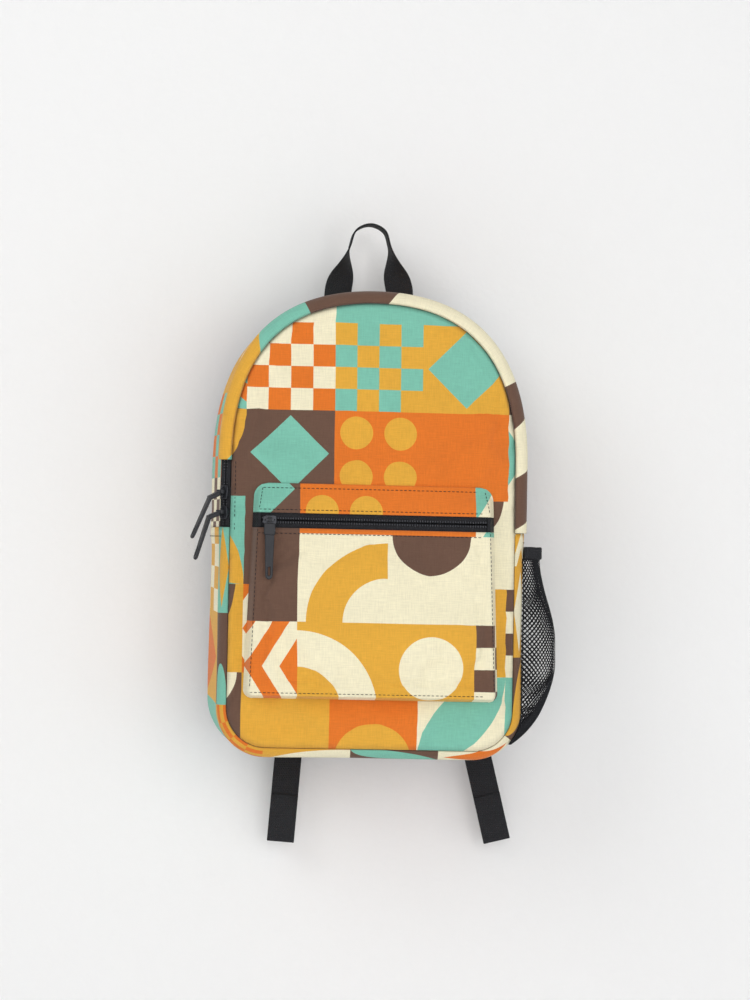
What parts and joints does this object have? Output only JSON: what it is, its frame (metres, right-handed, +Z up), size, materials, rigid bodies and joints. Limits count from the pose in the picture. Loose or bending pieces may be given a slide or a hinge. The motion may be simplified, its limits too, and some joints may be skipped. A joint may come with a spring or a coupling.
{
  "type": "backpack",
  "caption": "Printed cloth day pack with an arched zip opening under a rolled flap, a front zip pocket, a side mesh pocket, a grab handle and padded shoulder straps.",
  "frame": {"origin": "underside of the grab handle at the middle of its apex, where it rests on a hook", "axes": "+X to the right seen from the front, +Y towards the wearer's back, +Z up; the front faces -Y"},
  "size_m": [0.3328, 0.2016, 0.573],
  "materials": {
    "printed_cloth": "matt woven cloth with a printed patchwork",
    "black_webbing": "woven webbing",
    "black_mesh": "open knitted mesh",
    "zip_tape": "woven tape",
    "zip_coil": "satin",
    "slider_metal": "black lacquer",
    "pull_rubber": "matt",
    "buckle_plastic": "satin",
    "lining": "plain weave"
  },
  "bodies": {
    "bag": {"front_panel": "printed_cloth", "upper_gusset": "printed_cloth", "lower_gusset": "printed_cloth", "zip_flap": "printed_cloth", "main_zip_rear_tape": "zip_tape", "main_zip_front_tape": "zip_tape", "main_zip_rear_coil": "zip_coil", "main_zip_front_coil": "zip_coil", "pocket_header": "printed_cloth", "pocket_face": "printed_cloth", "pocket_end_left": "zip_tape", "pocket_end_right": "zip_tape", "pocket_zip_upper_tape": "zip_tape", "pocket_zip_lower_tape": "zip_tape", "pocket_zip_upper_coil": "zip_coil", "pocket_zip_lower_coil": "zip_coil", "mesh_pocket": "black_mesh", "mesh_pocket_binding": "black_webbing", "grab_handle": "black_webbing", "back_panel": "black_mesh", "strap_yoke": "black_webbing", "laptop_sleeve": "lining", "shoulder_strap_left": "black_mesh", "shoulder_strap_right": "black_mesh", "strap_webbing_left": "black_webbing", "strap_webbing_right": "black_webbing", "ladder_lock_left": "buckle_plastic", "ladder_lock_right": "buckle_plastic", "adjuster_webbing_left": "black_webbing", "adjuster_webbing_right": "black_webbing", "strap_anchor_left": "black_webbing", "strap_anchor_right": "black_webbing"},
    "pocket_runner": {"pocket_slider": "slider_metal"},
    "pocket_tab": {"pocket_pull": "pull_rubber"},
    "upper_runner": {"main_slider_upper": "slider_metal"},
    "upper_tab": {"main_pull_upper": "pull_rubber"},
    "lower_runner": {"main_slider_lower": "slider_metal"},
    "lower_tab": {"main_pull_lower": "pull_rubber"}
  },
  "joints": [
    {"name": "pocket_zip_slide", "type": "slide", "parent": "bag", "child": "pocket_runner", "axis": [1, 0, 0], "range_m": [0, 0.185]},
    {"name": "pocket_pull_swing", "type": "hinge", "parent": "pocket_runner", "child": "pocket_tab", "pos_m": [-0.09272, -0.14446, -0.275], "axis": [-1, 0, 0], "range_deg": [0, 100]},
    {"name": "main_upper_slide", "type": "slide", "parent": "bag", "child": "upper_runner", "axis": [0, 0.0577, 0.9983], "range_m": [0, 0.021]},
    {"name": "main_upper_pull_swing", "type": "hinge", "parent": "upper_runner", "child": "upper_tab", "pos_m": [-0.13489, -0.12029, -0.2507], "axis": [0, 0.0577, 0.9983], "range_deg": [0, 100]},
    {"name": "main_lower_slide", "type": "slide", "parent": "bag", "child": "lower_runner", "axis": [0, 0.0577, 0.9983], "range_m": [-0.004, 0]},
    {"name": "main_lower_pull_swing", "type": "hinge", "parent": "lower_runner", "child": "lower_tab", "pos_m": [-0.13489, -0.12133, -0.2687], "axis": [0, 0.0577, 0.9983], "range_deg": [0, 100]}
  ]
}
